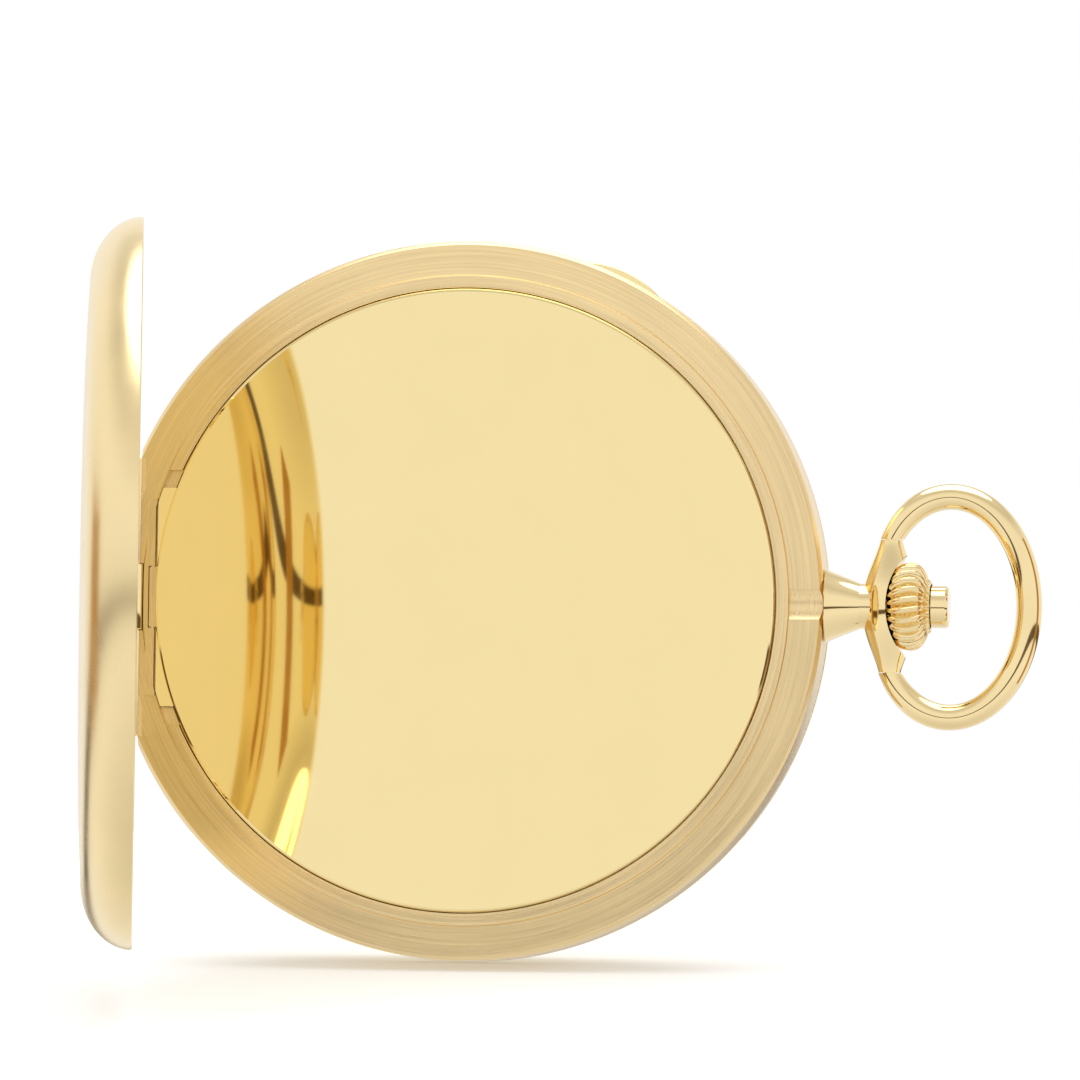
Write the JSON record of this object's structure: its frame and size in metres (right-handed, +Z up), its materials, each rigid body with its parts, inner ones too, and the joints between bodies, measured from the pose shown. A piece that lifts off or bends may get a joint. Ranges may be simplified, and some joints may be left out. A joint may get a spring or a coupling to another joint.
{
  "type": "hunter pocket watch",
  "caption": "Hunter-case pocket watch with hinged front, back and dust covers, a keyless winding crown, bow and lever movement.",
  "frame": {"origin": "centre of the front cover's outer flat, on the watch axis", "axes": "+Y out of the front cover along the watch axis, +X along the pendant, +Z up with the watch on its rim"},
  "size_m": [0.0633, 0.0542, 0.048],
  "materials": {
    "polished_gold": "mirror polished yellow gold",
    "brushed_gold": "fine circular brushed yellow gold",
    "mirror_gold": "mirror polished pale gold",
    "gilt_plate": "frosted gilt",
    "wheel_brass": "polished brass",
    "steel": "grained steel",
    "blued_steel": "heat-blued polished steel",
    "enamel": "white vitreous enamel",
    "crystal_glass": "clear polished mineral glass"
  },
  "bodies": {
    "case": {"case_band": "brushed_gold", "bezel": "polished_gold", "crystal": "crystal_glass", "front_hinge_pin": "polished_gold", "back_hinge_pin": "polished_gold", "cuvette_hinge_pin": "polished_gold", "pendant_neck": "polished_gold", "bow_holder": "polished_gold", "bow_pin_upper": "polished_gold", "bow_pin_lower": "polished_gold", "main_plate": "gilt_plate", "barrel_bridge": "gilt_plate", "train_bridge": "gilt_plate", "balance_cock": "gilt_plate", "pallet_bridge": "gilt_plate", "click_spring": "steel", "dial": "enamel", "crown_wheel_screw": "blued_steel", "barrel_bridge_screw_1": "blued_steel", "barrel_bridge_screw_2": "blued_steel", "train_bridge_screw_1": "blued_steel", "train_bridge_screw_2": "blued_steel", "cock_screw": "blued_steel", "case_screw_1": "blued_steel", "case_screw_2": "blued_steel"},
    "front_lid": {"front_cover": "polished_gold"},
    "back_lid": {"back_cover": "polished_gold"},
    "dust_lid": {"cuvette": "mirror_gold"},
    "bow": {"bow": "polished_gold"},
    "lock_spring": {"lock_spring": "steel"},
    "lift_spring": {"lift_spring": "steel"},
    "arbor": {"winding_arbor": "steel", "winding_pinion": "steel"},
    "crown": {"crown": "polished_gold", "winding_stem": "steel"},
    "pusher": {"pusher": "polished_gold"},
    "clutch": {"clutch_wheel": "steel"},
    "setting_lever": {"setting_lever": "steel"},
    "clutch_lever": {"clutch_lever": "steel"},
    "crown_wheel": {"crown_wheel": "steel"},
    "ratchet": {"ratchet_wheel": "steel", "barrel_arbor": "steel", "ratchet_screw": "blued_steel"},
    "click": {"click": "steel"},
    "barrel": {"barrel_drum": "wheel_brass", "mainspring": "steel"},
    "centre": {"centre_wheel": "wheel_brass", "cannon_pinion": "steel", "minute_hand": "blued_steel"},
    "third": {"third_wheel": "wheel_brass"},
    "fourth": {"fourth_wheel": "wheel_brass", "seconds_hand": "blued_steel"},
    "escape": {"escape_wheel": "steel"},
    "lever": {"pallet_fork": "steel"},
    "balance": {"balance_wheel": "wheel_brass", "hairspring": "blued_steel"},
    "minute_wheel": {"minute_wheel": "wheel_brass"},
    "hour": {"hour_wheel": "wheel_brass", "hour_hand": "blued_steel"},
    "setting_wheel": {"setting_wheel": "steel"}
  },
  "joints": [
    {"name": "front_cover_hinge", "type": "hinge", "parent": "case", "child": "front_lid", "pos_m": [-0.0231, -0.00385, 0], "axis": [0, 0, 1], "range_deg": [0, 95]},
    {"name": "back_cover_hinge", "type": "hinge", "parent": "case", "child": "back_lid", "pos_m": [-0.022, -0.0086, 0], "axis": [0, 0, -1], "range_deg": [-82, 8]},
    {"name": "cuvette_hinge", "type": "hinge", "parent": "case", "child": "dust_lid", "pos_m": [-0.02095, -0.00875, 0], "axis": [0, 0, -1], "range_deg": [0, 78]},
    {"name": "bow_swivel", "type": "hinge", "parent": "case", "child": "bow", "pos_m": [0.0283, -0.0063, 0], "axis": [0, 0, 1], "range_deg": [-85, 85]},
    {"name": "crown_turn", "type": "hinge", "parent": "case", "child": "arbor", "pos_m": [0.02, -0.0063, 0], "axis": [1, 0, 0], "continuous": true},
    {"name": "crown_pull", "type": "slide", "parent": "arbor", "child": "crown", "axis": [1, 0, 0], "range_m": [0, 0.0007]},
    {"name": "pusher_press", "type": "slide", "parent": "crown", "child": "pusher", "axis": [-1, 0, 0], "range_m": [0, 0.0006]},
    {"name": "lock_spring_flex", "type": "hinge", "parent": "case", "child": "lock_spring", "pos_m": [0.01749, -0.0053, -0.0118], "axis": [0, 1, 0], "range_deg": [-4, 0]},
    {"name": "lift_spring_flex", "type": "hinge", "parent": "case", "child": "lift_spring", "pos_m": [-0.00991, -0.0055, 0.01863], "axis": [-0.4695, 0, 0.8829], "range_deg": [-1.2, 1.2]},
    {"name": "clutch_slide", "type": "slide", "parent": "arbor", "child": "clutch", "axis": [-1, 0, 0], "range_m": [0, 0.0007]},
    {"name": "setting_lever_turn", "type": "hinge", "parent": "case", "child": "setting_lever", "pos_m": [0.0161, -0.005, 0.0034], "axis": [0, -1, 0], "range_deg": [-15, 15]},
    {"name": "clutch_lever_turn", "type": "hinge", "parent": "case", "child": "clutch_lever", "pos_m": [0.01275, -0.005, -0.0038], "axis": [0, -1, 0], "range_deg": [-15, 15]},
    {"name": "crown_wheel_turn", "type": "hinge", "parent": "case", "child": "crown_wheel", "pos_m": [0.01099, -0.0082, 0], "axis": [0, -1, 0], "continuous": true},
    {"name": "ratchet_turn", "type": "hinge", "parent": "case", "child": "ratchet", "pos_m": [0.00462, -0.0082, -0.008], "axis": [0, -1, 0], "continuous": true},
    {"name": "click_lift", "type": "hinge", "parent": "case", "child": "click", "pos_m": [0.0127, -0.0082, -0.0112], "axis": [0, -1, 0], "range_deg": [-12, 0]},
    {"name": "fourth_turn", "type": "hinge", "parent": "case", "child": "fourth", "pos_m": [0, -0.0069, 0.0095], "axis": [0, -1, 0], "continuous": true},
    {"name": "third_turn", "type": "hinge", "parent": "case", "child": "third", "pos_m": [0.00464, -0.0066, 0.00551], "axis": [0, -1, 0], "continuous": true},
    {"name": "centre_turn", "type": "hinge", "parent": "case", "child": "centre", "pos_m": [0, -0.0072, 0], "axis": [0, -1, 0], "continuous": true},
    {"name": "barrel_turn", "type": "hinge", "parent": "case", "child": "barrel", "pos_m": [0.00462, -0.0065, -0.008], "axis": [0, -1, 0], "continuous": true},
    {"name": "escape_turn", "type": "hinge", "parent": "case", "child": "escape", "pos_m": [-0.00495, -0.0072, 0.0095], "axis": [0, -1, 0], "continuous": true},
    {"name": "minute_wheel_turn", "type": "hinge", "parent": "case", "child": "minute_wheel", "pos_m": [0.005, -0.0051, 0], "axis": [0, -1, 0], "continuous": true},
    {"name": "hour_turn", "type": "hinge", "parent": "case", "child": "hour", "pos_m": [0, -0.0049, 0], "axis": [0, -1, 0], "continuous": true},
    {"name": "setting_wheel_turn", "type": "hinge", "parent": "case", "child": "setting_wheel", "pos_m": [0.01, -0.0051, 0], "axis": [0, -1, 0], "continuous": true},
    {"name": "lever_swing", "type": "hinge", "parent": "case", "child": "lever", "pos_m": [-0.0071, -0.0072, 0.00687], "axis": [0, -1, 0], "range_deg": [-2, 2]},
    {"name": "balance_swing", "type": "hinge", "parent": "case", "child": "balance", "pos_m": [-0.0106, -0.0076, 0.0026], "axis": [0, -1, 0], "range_deg": [-270, 270]}
  ],
  "couplings": [
    {"joint": "lock_spring_flex", "follows": "pusher_press", "rad_per_m": -93},
    {"joint": "lift_spring_flex", "follows": "front_cover_hinge", "ratio": -0.008},
    {"joint": "clutch_slide", "follows": "crown_pull", "ratio": 1},
    {"joint": "setting_lever_turn", "follows": "crown_pull", "rad_per_m": 314.29},
    {"joint": "clutch_lever_turn", "follows": "crown_pull", "rad_per_m": 285.71},
    {"joint": "crown_wheel_turn", "follows": "crown_turn", "ratio": -0.6},
    {"joint": "ratchet_turn", "follows": "crown_turn", "ratio": 0.28571},
    {"joint": "third_turn", "follows": "fourth_turn", "ratio": -0.13333},
    {"joint": "centre_turn", "follows": "fourth_turn", "ratio": 0.016667},
    {"joint": "barrel_turn", "follows": "fourth_turn", "ratio": -0.0027778},
    {"joint": "escape_turn", "follows": "fourth_turn", "ratio": -10},
    {"joint": "minute_wheel_turn", "follows": "fourth_turn", "ratio": -0.0055556},
    {"joint": "hour_turn", "follows": "fourth_turn", "ratio": 0.0013889},
    {"joint": "setting_wheel_turn", "follows": "fourth_turn", "ratio": 0.016667}
  ]
}
